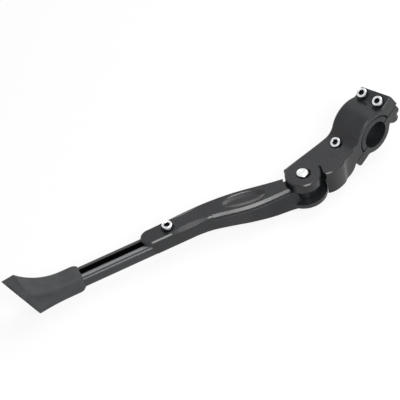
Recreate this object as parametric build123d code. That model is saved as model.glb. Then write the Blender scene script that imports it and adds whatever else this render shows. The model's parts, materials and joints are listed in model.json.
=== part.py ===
from build123d import *
import math
import os

# Bicycle kickstand with a split tube clamp, a folding leg and a foot rod set by one screw.
# Frame: origin at the centre of the clamped tube, +Z along the fold pivot towards the rivet
# end of its pin, +X from the foot towards the pivot. All sizes are in millimetres.

# Tube clamp
TUBE_R = 11.1
CLAMP_LENGTH = 28.0
CLAMP_TILT = 28.0
LINER_T = 5.8
RING_WALL = 4.1
CAP_WALL = 4.5
SPLIT_GAP = 1.2
FLANGE_RISE = 13.5
FLANGE_REACH = 27.2
FLANGE_SLANT = 7.6
LUG_REACH = 26.3
CAP_REACH = 27.6
CAP_FLANGE_T = 7.4
CAP_BOSS_R = 4.6
CAP_BOSS_H = 8.0

# Clamp screws and the screw that sets the foot rod share one thread
SCREW_D = 5.0
SCREW_HEAD_D = 8.5
SCREW_HEAD_H = 4.5
SCREW_LENGTH = 28.0
HEX_ACROSS = 4.0
HEX_DEPTH = 2.6
SCREW_CLEARANCE = 0.3
SCREW_BOLT_R = 20.7
SCREW_HALF_PITCH = 8.0
SPOT_DEPTH = 0.6
SPOT_CLEARANCE = 0.7
ARM_SCREW_R = 22.9
ARM_SCREW_SIDE = 2.0
ARM_SPOT_RISE = 13.4

# Arm and knuckle of the bracket
PIVOT_TO_TUBE = 67.0
TUBE_DROP = 3.0
ARM_ANGLE = 18.0
ARM_H = 22.0
ARM_NEAR = 16.7
ARM_FAR = 14.1
ARM_FLOOR_END = 39.0
ARM_BLEND_R = 9.0
FLANGE_BLEND_R = 3.0
BELLY_BLEND_R = 9.0
PLATE_T = 4.0
KNUCKLE_R = 13.75
KNUCKLE_T = 8.4
KNUCKLE_RISE = 0.7
KNUCKLE_EDGE = 0.9
CAM_R = 10.6
NOTCH_W = 1.6
HEEL_REACH = 5.5
HEEL_SIDE = 14.9
ARM_CORNER = 52.0
NEAR_EDGE = 0.8
FAR_EDGE = 1.2

# Fold pivot
PIN_D = 8.0
PIN_FIT = 0.05
PIN_DOME_D = 9.6
PIN_PROUD = 1.5
PIN_HEAD_D = 13.0
PIN_HEAD_T = 1.8
WASHER_T = 1.2
WASHER_OVER = 3.0
FACE_GAP = 0.1
RUN_GAP = 0.3

# Leg
LEG_H = 16.7
EAR_R = 17.5
EAR_T = 3.5
LEG_END_GAP = 1.9
LEG_REACH = 132.0
LEG_OFFSET = 9.9
LEG_WALL = 1.8
LEG_FAR_WALL = 3.2
LEG_ROOF_T = 4.2
LEG_BELLY_AT = 50.0
LEG_BELLY_FAR = 15.8
LEG_BELLY_NEAR = 5.0
LEG_ROOT_FAR = 7.6
LEG_ROOT_NEAR = 6.6
LEG_SKIRT_NEAR = 10.2
SKIRT_CORNER = 44.5
LEG_RIM_SIDE = 1.5
LEG_RIM_H = 4.6
LEG_NECK_AT = 90.0
LEG_RIM_END = 76.0
LEG_TAPER = 3.2
LEG_EDGE = 1.1
RIM_EDGE = 1.9
RIM_FLUTE_R = 1.6
RIM_FLUTE_CUT = 1.0
FLUTE_FACETS = 8
EYE_AT = 48.5
EYE_SIDE = 5.4
EYE_LENGTH = 35.0
EYE_WIDTH = 13.6
EYE_DEPTH = 1.6
EYE_WALL = 0.6
EYE_LEAN = 11.7
FACET_AT = 95.0
FACET_LENGTH = 37.0
FACET_DEPTH = 2.0
FACET_TILT = 38.0
CROWN_LENGTH = 36.0
CROWN_DEPTH = 0.75
CROWN_TILT = 14.0
CHANNEL_START = 58.0
NOSE_SCOOP = 8.0

# Latch in the leg: a sprung plunger that drops into two notches in the knuckle's cam
PLUNGER_D = 7.6
PLUNGER_L = 16.0
PLUNGER_TIP_D = 4.0
PLUNGER_NOSE_L = 2.4
PLUNGER_STEM_D = 3.6
PLUNGER_STEM_L = 8.0
LATCH_FIT = 0.2
LATCH_DROP = 12.8
LATCH_DEPTH = 46.0
DETENT_DEPTH = 1.3
DETENT_EASE = 0.5
FOLD_ANGLE = 100.0
SPRING_D = 6.8
SPRING_WIRE = 0.9
SPRING_TURNS = 6.0
SPRING_STEPS = 9

# Foot rod, slide nut and set screw
ROD_W = 11.2
ROD_H = 11.8
ROD_L = 122.0
ROD_START = 92.0
ROD_FIT = 0.2
ROD_EDGE = 0.6
SLOT_W = 5.6
SLOT_LIP = 2.2
SLOT_CAVITY_W = 8.0
SLOT_CAVITY_H = 4.0
FLUTE_W = 1.3
FLUTE_DROP = 2.8
SET_INSET = 22.2
SET_SEAT_DEPTH = 1.5
SET_WASHER_T = 1.0
SET_WASHER_D = 9.6
NUT_L = 10.0
NUT_H = 3.0
NUT_FIT = 0.3

# Foot
FOOT_START = 183.0
FOOT_RIM = 228.5
FOOT_SOLE = 231.0
FOOT_WALL = 2.8
FOOT_TOE_RISE = 14.2
FOOT_FLARE = 3.0
FOOT_INSTEP = 13.0
FOOT_LIP = 1.2
FOOT_SLANT = 19.3
FOOT_EDGE = 1.5
SOLE_GROOVES = 5
SOLE_GROOVE_W = 2.0
SOLE_GROOVE_DEPTH = 1.4
SOLE_PITCH = 5.2

# Heights below the top of the knuckle
LEG_TOP = -(PLATE_T + RUN_GAP)
LEG_BOTTOM = LEG_TOP - LEG_H
EAR_TOP = LEG_BOTTOM + EAR_T
KNUCKLE_BOTTOM = EAR_TOP + FACE_GAP + WASHER_T
ARM_TOP = -KNUCKLE_RISE
ROD_TOP = LEG_TOP - LEG_ROOF_T
LEG_END_R = KNUCKLE_R + LEG_END_GAP
SET_AT = LEG_REACH - SET_INSET
SWING_R = EAR_R + SCREW_CLEARANCE + FACE_GAP

# Sizes that follow from the clamp
RING_BORE_R = TUBE_R + LINER_T
RING_R = RING_BORE_R + RING_WALL
CAP_R = TUBE_R + CAP_WALL
FAR_AWAY = 400.0

# Where the knuckle, the arm and the clamp sit
KNUCKLE = Location((-PIVOT_TO_TUBE * math.cos(math.radians(ARM_ANGLE)),
                    -PIVOT_TO_TUBE * math.sin(math.radians(ARM_ANGLE)), TUBE_DROP))
ARM = KNUCKLE * Location((0, 0, 0), (0, 0, ARM_ANGLE))
CLAMP_IN_ARM = Location((PIVOT_TO_TUBE, 0, -TUBE_DROP), (0, -CLAMP_TILT, 0))
CLAMP = ARM * CLAMP_IN_ARM
CLAMP_SIDE = Location((PIVOT_TO_TUBE, -TUBE_DROP, 0), (0, 0, CLAMP_TILT))
SCREW_SEATS = [(SCREW_BOLT_R, -SCREW_HALF_PITCH, FLANGE_RISE - SPOT_DEPTH),
               (SCREW_BOLT_R, SCREW_HALF_PITCH, FLANGE_RISE - SPOT_DEPTH),
               (-ARM_SCREW_R, ARM_SCREW_SIDE, ARM_SPOT_RISE)]


def slab(low, high):
    """A box between two opposite corners."""
    size = [b - a for a, b in zip(low, high)]
    middle = [(a + b) / 2 for a, b in zip(low, high)]
    return Pos(*middle) * Box(*size)


def post(radius, low, high):
    """An upright cylinder between two heights."""
    return Pos(0, 0, (low + high) / 2) * Cylinder(radius, high - low)


def rect(low, high):
    """A flat rectangle between two opposite corners."""
    middle = Pos((low[0] + high[0]) / 2, (low[1] + high[1]) / 2)
    return middle * Rectangle(high[0] - low[0], high[1] - low[1])


def through_y(sketch, half):
    """A side outline pushed out to equal distances either side of the middle."""
    return extrude(Plane.XZ.offset(-half) * sketch, half * 2)


def through_z(sketch):
    """A top outline pushed out to far above and below."""
    return Pos(0, 0, -FAR_AWAY) * extrude(sketch, FAR_AWAY * 2)


def side_point(r, b):
    """A point of the clamp's own profile as seen from the side of the arm."""
    tilt = math.radians(CLAMP_TILT)
    return (PIVOT_TO_TUBE + r * math.cos(tilt) - b * math.sin(tilt),
            -TUBE_DROP + r * math.sin(tilt) + b * math.cos(tilt))


def nearest_corner(sketch, point):
    """The corner of a sketch that lies closest to a point."""
    return sketch.vertices().sort_by_distance(Vector(*point))[0]


def bracket_side():
    """Side outline of the bracket: arm, front half of the ring and flange."""
    lug = side_point(-LUG_REACH, SPLIT_GAP / 2)
    ring = CLAMP_SIDE * Circle(RING_R)
    flange = CLAMP_SIDE * rect((0, 0), (FLANGE_REACH + CLAMP_LENGTH / 2, FLANGE_RISE))
    heel = -HEEL_REACH * 1.2
    arm = make_face(Polyline((heel, ARM_TOP), (PIVOT_TO_TUBE - RING_BORE_R, ARM_TOP),
                             (PIVOT_TO_TUBE, -TUBE_DROP), lug, (ARM_FLOOR_END, -ARM_H),
                             (heel, -ARM_H), close=True))
    outline = ring + flange + arm
    outline -= CLAMP_SIDE * rect((-LUG_REACH, -FAR_AWAY), (FAR_AWAY, SPLIT_GAP / 2))
    root = math.sqrt(RING_R ** 2 - (TUBE_DROP + ARM_TOP) ** 2)
    outline = fillet(nearest_corner(outline, (PIVOT_TO_TUBE - root, ARM_TOP)), ARM_BLEND_R)
    neck = math.sqrt(RING_R ** 2 - FLANGE_RISE ** 2)
    outline = fillet(nearest_corner(outline, side_point(neck, FLANGE_RISE)), FLANGE_BLEND_R)
    outline = fillet(nearest_corner(outline, (ARM_FLOOR_END, -ARM_H)), BELLY_BLEND_R)
    return outline - CLAMP_SIDE * Circle(RING_BORE_R)


def arm_plan():
    """Top outline of the arm, from the knuckle to past the clamp's flange."""
    half = CLAMP_LENGTH / 2
    waist = PIVOT_TO_TUBE - RING_R
    corner = math.radians(-ARM_CORNER)
    reach = PIVOT_TO_TUBE + FLANGE_REACH + RING_R
    near = Spline((SWING_R * math.cos(corner), SWING_R * math.sin(corner)),
                  (waist * 0.32, -ARM_NEAR + 0.4), (waist * 0.6, -ARM_NEAR), (waist, -half),
                  tangents=[(0.8, -0.6), (1, 0)])
    far = Spline((waist, half), (waist * 0.6, ARM_FAR), (-HEEL_REACH, HEEL_SIDE),
                 tangents=[(-1, 0), (-1, 0)])
    ends = Polyline(near @ 1, (reach, -half), (reach, half), far @ 0)
    inner = Polyline(far @ 1, (0, 0), ((near @ 0).X, 0), near @ 0)
    return make_face(near + ends + far + inner)


def knuckle_slot(inner, outer, low, high):
    """Curved clearance on the near side of the knuckle for the leg's corner."""
    ring = post(outer, low, high) - post(inner, low, high)
    reach = outer * 2
    wedge = make_face(Polyline((0, 0), (reach, -reach * math.tan(math.radians(15))), (reach, -reach),
                               (-reach * 0.2, -reach), close=True))
    return ring & (Pos(0, 0, low) * extrude(wedge, high - low))


def detent():
    """Notch down the knuckle's cam that the plunger's nose drops into."""
    tip, wide = PLUNGER_TIP_D / 2 + DETENT_EASE, PLUNGER_D / 2 + DETENT_EASE
    floor = CAM_R - DETENT_DEPTH
    mouth = floor + PLUNGER_NOSE_L
    section = make_face(Polyline((-floor, tip), (-mouth, wide), (-mouth, -wide), (-floor, -tip), close=True))
    return Pos(0, 0, EAR_TOP) * extrude(section, -KNUCKLE_T - EAR_TOP)


def on_top_rim(edge, side):
    """Whether an edge of the bare arm runs along its upper outline on one side."""
    middle = edge @ 0.5
    tilt = math.radians(CLAMP_TILT)
    u, z = middle.X - PIVOT_TO_TUBE, middle.Z + TUBE_DROP
    r, b = u * math.cos(tilt) + z * math.sin(tilt), z * math.cos(tilt) - u * math.sin(tilt)
    outside = math.hypot(r, b) > RING_R - FACE_GAP and z > 0
    return side * middle.Y > ARM_FAR - FAR_EDGE and outside and (r < 0 or b > FLANGE_RISE - FACE_GAP)


def bracket():
    """Cast arm with the knuckle at one end and the front half of the clamp at the other."""
    body = through_y(bracket_side(), PIVOT_TO_TUBE) & through_z(arm_plan())
    end = Pos(FLANGE_REACH, 0, 0) * Rot(0, 0, FLANGE_SLANT)
    body -= CLAMP_IN_ARM * end * slab((0, -FAR_AWAY, -FAR_AWAY), (FAR_AWAY, FAR_AWAY, FAR_AWAY))
    body = chamfer([e for e in body.edges() if on_top_rim(e, -1)], NEAR_EDGE)
    body = chamfer([e for e in body.edges() if on_top_rim(e, 1)], FAR_EDGE)
    body -= post(SWING_R, -FAR_AWAY, EAR_TOP + RUN_GAP)
    disc = post(KNUCKLE_R, -KNUCKLE_T, 0)
    body += chamfer(disc.edges().group_by(Axis.Z)[-1], KNUCKLE_EDGE)
    body += post(CAM_R, EAR_TOP + RUN_GAP, 0)
    body -= knuckle_slot(CAM_R, SWING_R, EAR_TOP - RUN_GAP, -KNUCKLE_T)
    body -= knuckle_slot(KNUCKLE_R, SWING_R, -KNUCKLE_T - RUN_GAP, -PLATE_T)
    body -= knuckle_slot(KNUCKLE_R, KNUCKLE_R + NOTCH_W, -PLATE_T - RUN_GAP, RUN_GAP)
    body -= post(PIN_D / 2 + WASHER_OVER + RUN_GAP, -FAR_AWAY, KNUCKLE_BOTTOM)
    body -= post(PIN_D / 2 + PIN_FIT, -FAR_AWAY, FAR_AWAY)
    for turn in (0, FOLD_ANGLE):
        body -= Rot(0, 0, turn - ARM_ANGLE) * detent()
    for r, t, seat in SCREW_SEATS:
        at = CLAMP_IN_ARM * Pos(r, t, seat)
        body -= at * post(SCREW_D / 2 + SCREW_CLEARANCE, -FAR_AWAY, SPOT_DEPTH)
        body -= at * post(SCREW_HEAD_D / 2 + SPOT_CLEARANCE, 0, SCREW_HEAD_H * 2)
    return ARM * body


def clamp_cap():
    """Rear half of the tube clamp, with tapped bosses for the three screws."""
    face = -SPLIT_GAP / 2
    shell = Circle(CAP_R) + rect((-LUG_REACH, face - CAP_FLANGE_T), (CAP_REACH, face))
    shell -= rect((-FAR_AWAY, face), (FAR_AWAY, FAR_AWAY))
    corners = [nearest_corner(shell, (-LUG_REACH, face - CAP_FLANGE_T)),
               nearest_corner(shell, (CAP_REACH, face - CAP_FLANGE_T))]
    shell = fillet(corners, CAP_FLANGE_T * 0.4)
    web = math.sqrt(CAP_R ** 2 - (CAP_FLANGE_T - face) ** 2)
    roots = [nearest_corner(shell, (side * web, face - CAP_FLANGE_T)) for side in (-1, 1)]
    shell = fillet(roots, FLANGE_BLEND_R) - Circle(TUBE_R)
    body = through_y(shell, CLAMP_LENGTH / 2)
    foot = face - CAP_FLANGE_T
    for r, t, seat in SCREW_SEATS:
        body += Pos(r, t, 0) * post(CAP_BOSS_R, foot - CAP_BOSS_H, face)
    body -= through_y(Circle(TUBE_R), CLAMP_LENGTH)
    for r, t, seat in SCREW_SEATS:
        body -= Pos(r, t, 0) * post(SCREW_D / 2, -FAR_AWAY, FAR_AWAY)
    return CLAMP * body


def tube_liner():
    """Thick rubber half shell between the ring and the tube."""
    half = Circle(RING_BORE_R - FACE_GAP) - Circle(TUBE_R)
    half -= rect((-FAR_AWAY, -FAR_AWAY), (FAR_AWAY, SPLIT_GAP / 2))
    return CLAMP * through_y(half, CLAMP_LENGTH / 2)


def cap_screw(length):
    """Socket head screw with its seat at height zero and its shank pointing down."""
    head = post(SCREW_HEAD_D / 2, 0, SCREW_HEAD_H)
    socket = extrude(RegularPolygon(HEX_ACROSS / 2, 6, major_radius=False), HEX_DEPTH)
    return head + post(SCREW_D / 2, -length, 0) - Pos(0, 0, SCREW_HEAD_H - HEX_DEPTH) * socket


def clamp_screws():
    """The three equal screws that close the clamp."""
    return Compound([CLAMP * Pos(*seat) * cap_screw(SCREW_LENGTH) for seat in SCREW_SEATS])


def pivot_pin():
    """Headed pin under the ear, with a domed rivet end above the knuckle."""
    foot = LEG_BOTTOM - FACE_GAP - WASHER_T
    dome = post(PIN_DOME_D / 2, 0, PIN_PROUD)
    dome = chamfer(dome.edges().group_by(Axis.Z)[-1], PIN_PROUD * 0.7)
    head = post(PIN_HEAD_D / 2, foot - PIN_HEAD_T, foot)
    return KNUCKLE * (post(PIN_D / 2, foot, 0) + dome + head)


def pivot_washer(top):
    """Plain washer on the pivot pin, below the given height."""
    disc = post(PIN_D / 2 + WASHER_OVER, top - WASHER_T, top)
    return KNUCKLE * (disc - post(PIN_D / 2 + PIN_FIT, top - WASHER_T, top))


def near_rim():
    """Near edge of the leg's top, from the end of its flute to the knuckle."""
    return Spline((-LEG_RIM_END, LEG_RIM_SIDE), (-LEG_BELLY_AT, -LEG_BELLY_NEAR),
                  (-LEG_END_R, -LEG_ROOT_NEAR), tangents=[(1, -0.2), (1, 0)])


def near_skirt():
    """Near edge of the leg's underside, which widens to the ear's rim."""
    corner = math.radians(SKIRT_CORNER)
    return Spline((-LEG_RIM_END, LEG_RIM_SIDE), (-LEG_BELLY_AT, -LEG_BELLY_NEAR),
                  (-EAR_R * 1.6, -LEG_SKIRT_NEAR),
                  (-EAR_R * math.cos(corner), -EAR_R * math.sin(corner)),
                  tangents=[(1, -0.2), (0.8, -0.2)])


def leg_outline(near):
    """Outline of the leg from above, closed by a given near edge."""
    half = ROD_W / 2 + ROD_FIT + LEG_WALL
    nose = LEG_REACH - half
    neck_far = LEG_OFFSET + ROD_W / 2 + ROD_FIT + LEG_FAR_WALL
    far = Spline((0, LEG_ROOT_FAR - 1), (-LEG_BELLY_AT, LEG_BELLY_FAR), (-LEG_NECK_AT, neck_far),
                 (-nose, LEG_OFFSET + half), tangents=[(-1, 0.05), (-1, 0)])
    wall = Spline((-nose, LEG_OFFSET - half), (-LEG_NECK_AT, LEG_OFFSET - half), near @ 0,
                  tangents=[(1, 0), (1, -0.2)])
    tip = ThreePointArc(far @ 1, (-LEG_REACH, LEG_OFFSET), wall @ 0)
    back = Polyline(near @ 1, (0, -LEG_ROOT_NEAR), far @ 0)
    return make_face(far + tip + wall + near + back)


def eye():
    """Oval dish in the top of the leg: a short steep wall round a gently sloping floor."""
    steps = [(-RUN_GAP, -RUN_GAP), (EYE_WALL, EYE_WALL), (EYE_WIDTH * 0.3, EYE_DEPTH)]
    rings = [Pos(0, 0, -sunk) * Ellipse(EYE_LENGTH / 2 - inset, EYE_WIDTH / 2 - inset) for inset, sunk in steps]
    return Location((-EYE_AT, EYE_SIDE, LEG_TOP), (0, 0, -EYE_LEAN)) * loft(rings, ruled=True)


def edge_scoop(at, side, outward, tilt, length, depth):
    """Large roller that takes a long, shallow facet off one top edge of the leg."""
    turn = math.radians(tilt)
    normal = Vector(0, outward * math.sin(turn), math.cos(turn))
    radius = (length ** 2 / 4 + depth ** 2) / (2 * depth)
    middle = Vector(-at, side, LEG_TOP) + normal * (radius - depth)
    along = (0, math.cos(turn), -outward * math.sin(turn))
    return Plane(origin=middle, x_dir=(1, 0, 0), z_dir=along) * Cylinder(radius, LEG_REACH)


def rim_cutters():
    """Bevel and hollow flute that follow the near edge of the leg's top."""
    path = Pos(0, 0, LEG_TOP) * near_rim()
    across = Plane(origin=path @ 0, x_dir=(0, 0, 1), z_dir=path % 0)
    bevel = make_face(Polyline((0, -RIM_EDGE), (-RIM_EDGE, 0), (RIM_EDGE / 2, RIM_EDGE / 2), close=True))
    hollow = Pos(-RIM_EDGE - RIM_FLUTE_R, RIM_FLUTE_R - RIM_FLUTE_CUT)
    flute = hollow * RegularPolygon(RIM_FLUTE_R, FLUTE_FACETS)
    return [sweep(across * bevel, path), sweep(across * flute, path)]


def leg():
    """Cast leg: ear and latch bore at the knuckle, roof and walls over the foot rod."""
    half = ROD_W / 2 + ROD_FIT
    rim = leg_outline(near_rim())
    upper = Pos(0, 0, LEG_TOP - LEG_RIM_H) * extrude(rim, LEG_RIM_H)
    top_edges = upper.faces().sort_by(Axis.Z)[-1].edges().filter_by(lambda e: e.center().X < -EAR_R)
    upper = chamfer(top_edges, LEG_EDGE)
    lower = loft([Pos(0, 0, LEG_BOTTOM) * leg_outline(near_skirt()), Pos(0, 0, LEG_TOP - LEG_RIM_H) * rim])
    body = upper + lower
    for cutter in rim_cutters():
        body -= cutter
    near_wall, far_wall = LEG_OFFSET - half - LEG_WALL, LEG_OFFSET + half + LEG_FAR_WALL
    body -= edge_scoop(FACET_AT, near_wall, -1, FACET_TILT, FACET_LENGTH, FACET_DEPTH)
    body -= edge_scoop(FACET_AT, far_wall, 1, CROWN_TILT, CROWN_LENGTH, CROWN_DEPTH)
    rise, under, past = LEG_BOTTOM + LEG_TAPER, LEG_BOTTOM - LEG_H, -LEG_REACH * 2
    belly = make_face(Polyline((-LEG_BELLY_AT, LEG_BOTTOM), (-LEG_NECK_AT, rise), (past, rise),
                               (past, under), (-LEG_BELLY_AT, under), close=True))
    body -= through_y(belly, FAR_AWAY)
    nose_x = -LEG_REACH + ROD_W / 2
    scoop = make_face(Polyline((nose_x, ROD_TOP), (nose_x + NOSE_SCOOP, under), (past, under),
                               (past, ROD_TOP), close=True))
    body -= through_y(scoop, FAR_AWAY)
    body -= post(LEG_END_R, -KNUCKLE_T - RUN_GAP, FAR_AWAY)
    body -= post(CAM_R + LEG_END_GAP / 2, EAR_TOP, 0)
    body += post(EAR_R, LEG_BOTTOM, EAR_TOP)
    body -= slab((0, -FAR_AWAY, EAR_TOP), (FAR_AWAY, FAR_AWAY, FAR_AWAY))
    body -= post(PIN_D / 2 + PIN_FIT, -FAR_AWAY, FAR_AWAY)
    body -= slab((-FAR_AWAY, LEG_OFFSET - half, -FAR_AWAY),
                 (-CHANNEL_START, LEG_OFFSET + half, ROD_TOP + ROD_FIT))
    bore = PLUNGER_D / 2 + LATCH_FIT
    body -= Pos(-LATCH_DEPTH / 2, 0, -LATCH_DROP) * Rot(0, 90, 0) * Cylinder(bore, LATCH_DEPTH)
    body -= eye()
    at = Pos(-SET_AT, LEG_OFFSET, LEG_TOP - SET_SEAT_DEPTH)
    body -= at * post(SCREW_D / 2 + SCREW_CLEARANCE, -LEG_ROOF_T, LEG_ROOF_T)
    body -= at * post(SET_WASHER_D / 2 + SCREW_CLEARANCE, 0, LEG_ROOF_T)
    return KNUCKLE * body


def latch_plunger():
    """Plunger with a tapered nose and a stem that centres the spring."""
    tip = -(CAM_R + RUN_GAP)
    cone = Cone(PLUNGER_D / 2, PLUNGER_TIP_D / 2, PLUNGER_NOSE_L)
    nose = Pos(tip - PLUNGER_NOSE_L / 2, 0, 0) * Rot(0, 90, 0) * cone
    barrel_l = PLUNGER_L - PLUNGER_NOSE_L
    barrel_at = tip - PLUNGER_NOSE_L - barrel_l / 2
    barrel = Pos(barrel_at, 0, 0) * Rot(0, 90, 0) * Cylinder(PLUNGER_D / 2, barrel_l)
    stem_at = tip - PLUNGER_L - PLUNGER_STEM_L / 2
    stem = Pos(stem_at, 0, 0) * Rot(0, 90, 0) * Cylinder(PLUNGER_STEM_D / 2, PLUNGER_STEM_L)
    return KNUCKLE * Pos(0, 0, -LATCH_DROP) * (nose + barrel + stem)


def latch_spring():
    """Compression spring of square wire between the plunger's shoulder and the end of its bore."""
    front = -(CAM_R + RUN_GAP + PLUNGER_L + FACE_GAP)
    length = LATCH_DEPTH + front - FACE_GAP - SPRING_WIRE
    radius, steps = (SPRING_D - SPRING_WIRE) / 2, int(SPRING_TURNS * SPRING_STEPS)
    turn = math.tau * SPRING_TURNS / steps
    path = Polyline(*[(radius * math.cos(turn * i), radius * math.sin(turn * i), length * i / steps)
                      for i in range(steps + 1)])
    wire = sweep(Plane(origin=path @ 0, z_dir=path % 0) * Rectangle(SPRING_WIRE, SPRING_WIRE), path,
                 transition=Transition.RIGHT)
    return KNUCKLE * Pos(front - SPRING_WIRE / 2, 0, -LATCH_DROP) * Rot(0, -90, 0) * wire


def rod_profile():
    """Section of the foot rod, seen along its length, with its top face at height zero."""
    half = ROD_W / 2
    section = Pos(0, -ROD_H / 2) * Rectangle(ROD_W, ROD_H)
    section = chamfer(section.vertices(), ROD_EDGE)
    section -= rect((-SLOT_W / 2, -SLOT_LIP - SLOT_CAVITY_H), (SLOT_W / 2, ROD_EDGE))
    section -= rect((-SLOT_CAVITY_W / 2, -SLOT_LIP - SLOT_CAVITY_H), (SLOT_CAVITY_W / 2, -SLOT_LIP))
    for side in (-1, 1):
        flute = Pos(side * half, -FLUTE_DROP) * Rot(0, 0, 45) * Rectangle(FLUTE_W, FLUTE_W)
        section -= flute
    return section


def foot_rod():
    """Grooved bar that slides in the leg and carries the foot."""
    along = Plane(origin=(-ROD_START, LEG_OFFSET, ROD_TOP), x_dir=(0, 1, 0), z_dir=(1, 0, 0))
    return KNUCKLE * extrude(along * rod_profile(), -ROD_L)


def slide_nut():
    """Flat nut that the set screw draws up under the lips of the rod's groove."""
    top = ROD_TOP - SLOT_LIP - FACE_GAP
    half = SLOT_CAVITY_W / 2 - NUT_FIT
    body = slab((-SET_AT - NUT_L / 2, LEG_OFFSET - half, top - NUT_H),
                (-SET_AT + NUT_L / 2, LEG_OFFSET + half, top))
    body = chamfer(body.edges().filter_by(Axis.Z), NUT_H * 0.3)
    return KNUCKLE * (body - Pos(-SET_AT, LEG_OFFSET, 0) * post(SCREW_D / 2, -FAR_AWAY, 0))


def set_washer():
    """Washer under the head of the set screw."""
    seat = LEG_TOP - SET_SEAT_DEPTH
    ring = post(SET_WASHER_D / 2, seat, seat + SET_WASHER_T) - post(SCREW_D / 2 + SCREW_CLEARANCE, seat, 0)
    return KNUCKLE * Pos(-SET_AT, LEG_OFFSET, 0) * ring


def set_screw():
    """Screw that fixes the length of the foot rod."""
    seat = LEG_TOP - SET_SEAT_DEPTH + SET_WASHER_T
    length = seat - (ROD_TOP - SLOT_LIP - FACE_GAP - NUT_H)
    return KNUCKLE * Pos(-SET_AT, LEG_OFFSET, seat) * cap_screw(length)


def flank(level, rise):
    """Straight collar line and the tangent curve that flares from it to the rim of the sole pad."""
    bend = (-FOOT_START - FOOT_INSTEP, level)
    return Line((-FOOT_START, level), bend) + TangentArc(bend, (-FOOT_RIM, level + rise), tangent=(-1, 0))


def foot():
    """Rubber boot on the end of the rod, with a slanted, grooved sole."""
    wall = ROD_W / 2 + FOOT_WALL
    top, bottom = ROD_TOP + FOOT_WALL, ROD_TOP - ROD_H - FOOT_WALL
    toe, past = top + FOOT_TOE_RISE, -FOOT_SOLE * 1.1
    side = make_face(flank(top, FOOT_TOE_RISE) + Polyline((-FOOT_RIM, toe), (-FOOT_RIM, bottom),
                                                          (-FOOT_START, bottom), (-FOOT_START, top)))
    near, far = LEG_OFFSET - wall, LEG_OFFSET + wall
    collar = Line((-FOOT_START, near), (-FOOT_START, far))
    rim = Line((-FOOT_RIM, near - FOOT_FLARE), (-FOOT_RIM, far + FOOT_FLARE))
    plan = make_face(flank(near, -FOOT_FLARE) + flank(far, FOOT_FLARE) + collar + rim)
    body = through_y(side, FAR_AWAY) & through_z(plan)
    lengthwise = [e for e in body.edges() if abs((e @ 0).X - (e @ 1).X) > FOOT_WALL]
    body = chamfer(lengthwise, FOOT_EDGE)
    body = chamfer(body.faces().sort_by(Axis.X)[-1].edges(), FOOT_LIP)
    pad = rect((near - FOOT_FLARE, bottom), (far + FOOT_FLARE, toe))
    pad = Plane(origin=(-FOOT_RIM, 0, 0), x_dir=(0, 1, 0), z_dir=(1, 0, 0)) * chamfer(pad.vertices(), FOOT_EDGE)
    body += extrude(pad, past + FOOT_RIM)
    slope = math.tan(math.radians(FOOT_SLANT))
    middle = (-FOOT_SOLE, LEG_OFFSET, (toe + bottom) / 2)
    sole = Plane(origin=middle, x_dir=(-slope, 0, 1), z_dir=(-1, -slope, -slope))
    body -= sole * slab((-FAR_AWAY, -FAR_AWAY, 0), (FAR_AWAY, FAR_AWAY, FAR_AWAY))
    for step in range(SOLE_GROOVES):
        offset = (step - (SOLE_GROOVES - 1) / 2) * SOLE_PITCH
        body -= sole * Pos(offset, 0, 0) * Box(SOLE_GROOVE_W, FAR_AWAY, SOLE_GROOVE_DEPTH * 2)
    reach = ROD_START + ROD_L + FACE_GAP
    body -= slab((-reach, LEG_OFFSET - ROD_W / 2, ROD_TOP - ROD_H), (0, LEG_OFFSET + ROD_W / 2, ROD_TOP))
    return KNUCKLE * body


PARTS = {
    "bracket": bracket,
    "clamp_cap": clamp_cap,
    "tube_liner": tube_liner,
    "clamp_screws": clamp_screws,
    "pivot_pin": pivot_pin,
    "thrust_washer": lambda: pivot_washer(EAR_TOP + FACE_GAP + WASHER_T),
    "pin_washer": lambda: pivot_washer(LEG_BOTTOM - FACE_GAP),
    "leg": leg,
    "latch_plunger": latch_plunger,
    "latch_spring": latch_spring,
    "foot_rod": foot_rod,
    "slide_nut": slide_nut,
    "set_washer": set_washer,
    "set_screw": set_screw,
    "foot": foot,
}

os.makedirs("parts", exist_ok=True)
for name, make in PARTS.items():
    export_step(make(), os.path.join("parts", name + ".step"))
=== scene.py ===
"""Bicycle kickstand: finishes, fasteners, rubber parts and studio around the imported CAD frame.

Every piece is modelled in metres, in the frame of the CAD model: the origin is the centre of
the clamped tube, +Z runs along the fold pivot and +X from the foot towards the pivot.
"""
import json
import logging
import math
from dataclasses import dataclass
from enum import Enum

import bmesh
import bpy
from mathutils import Matrix, Vector


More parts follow.
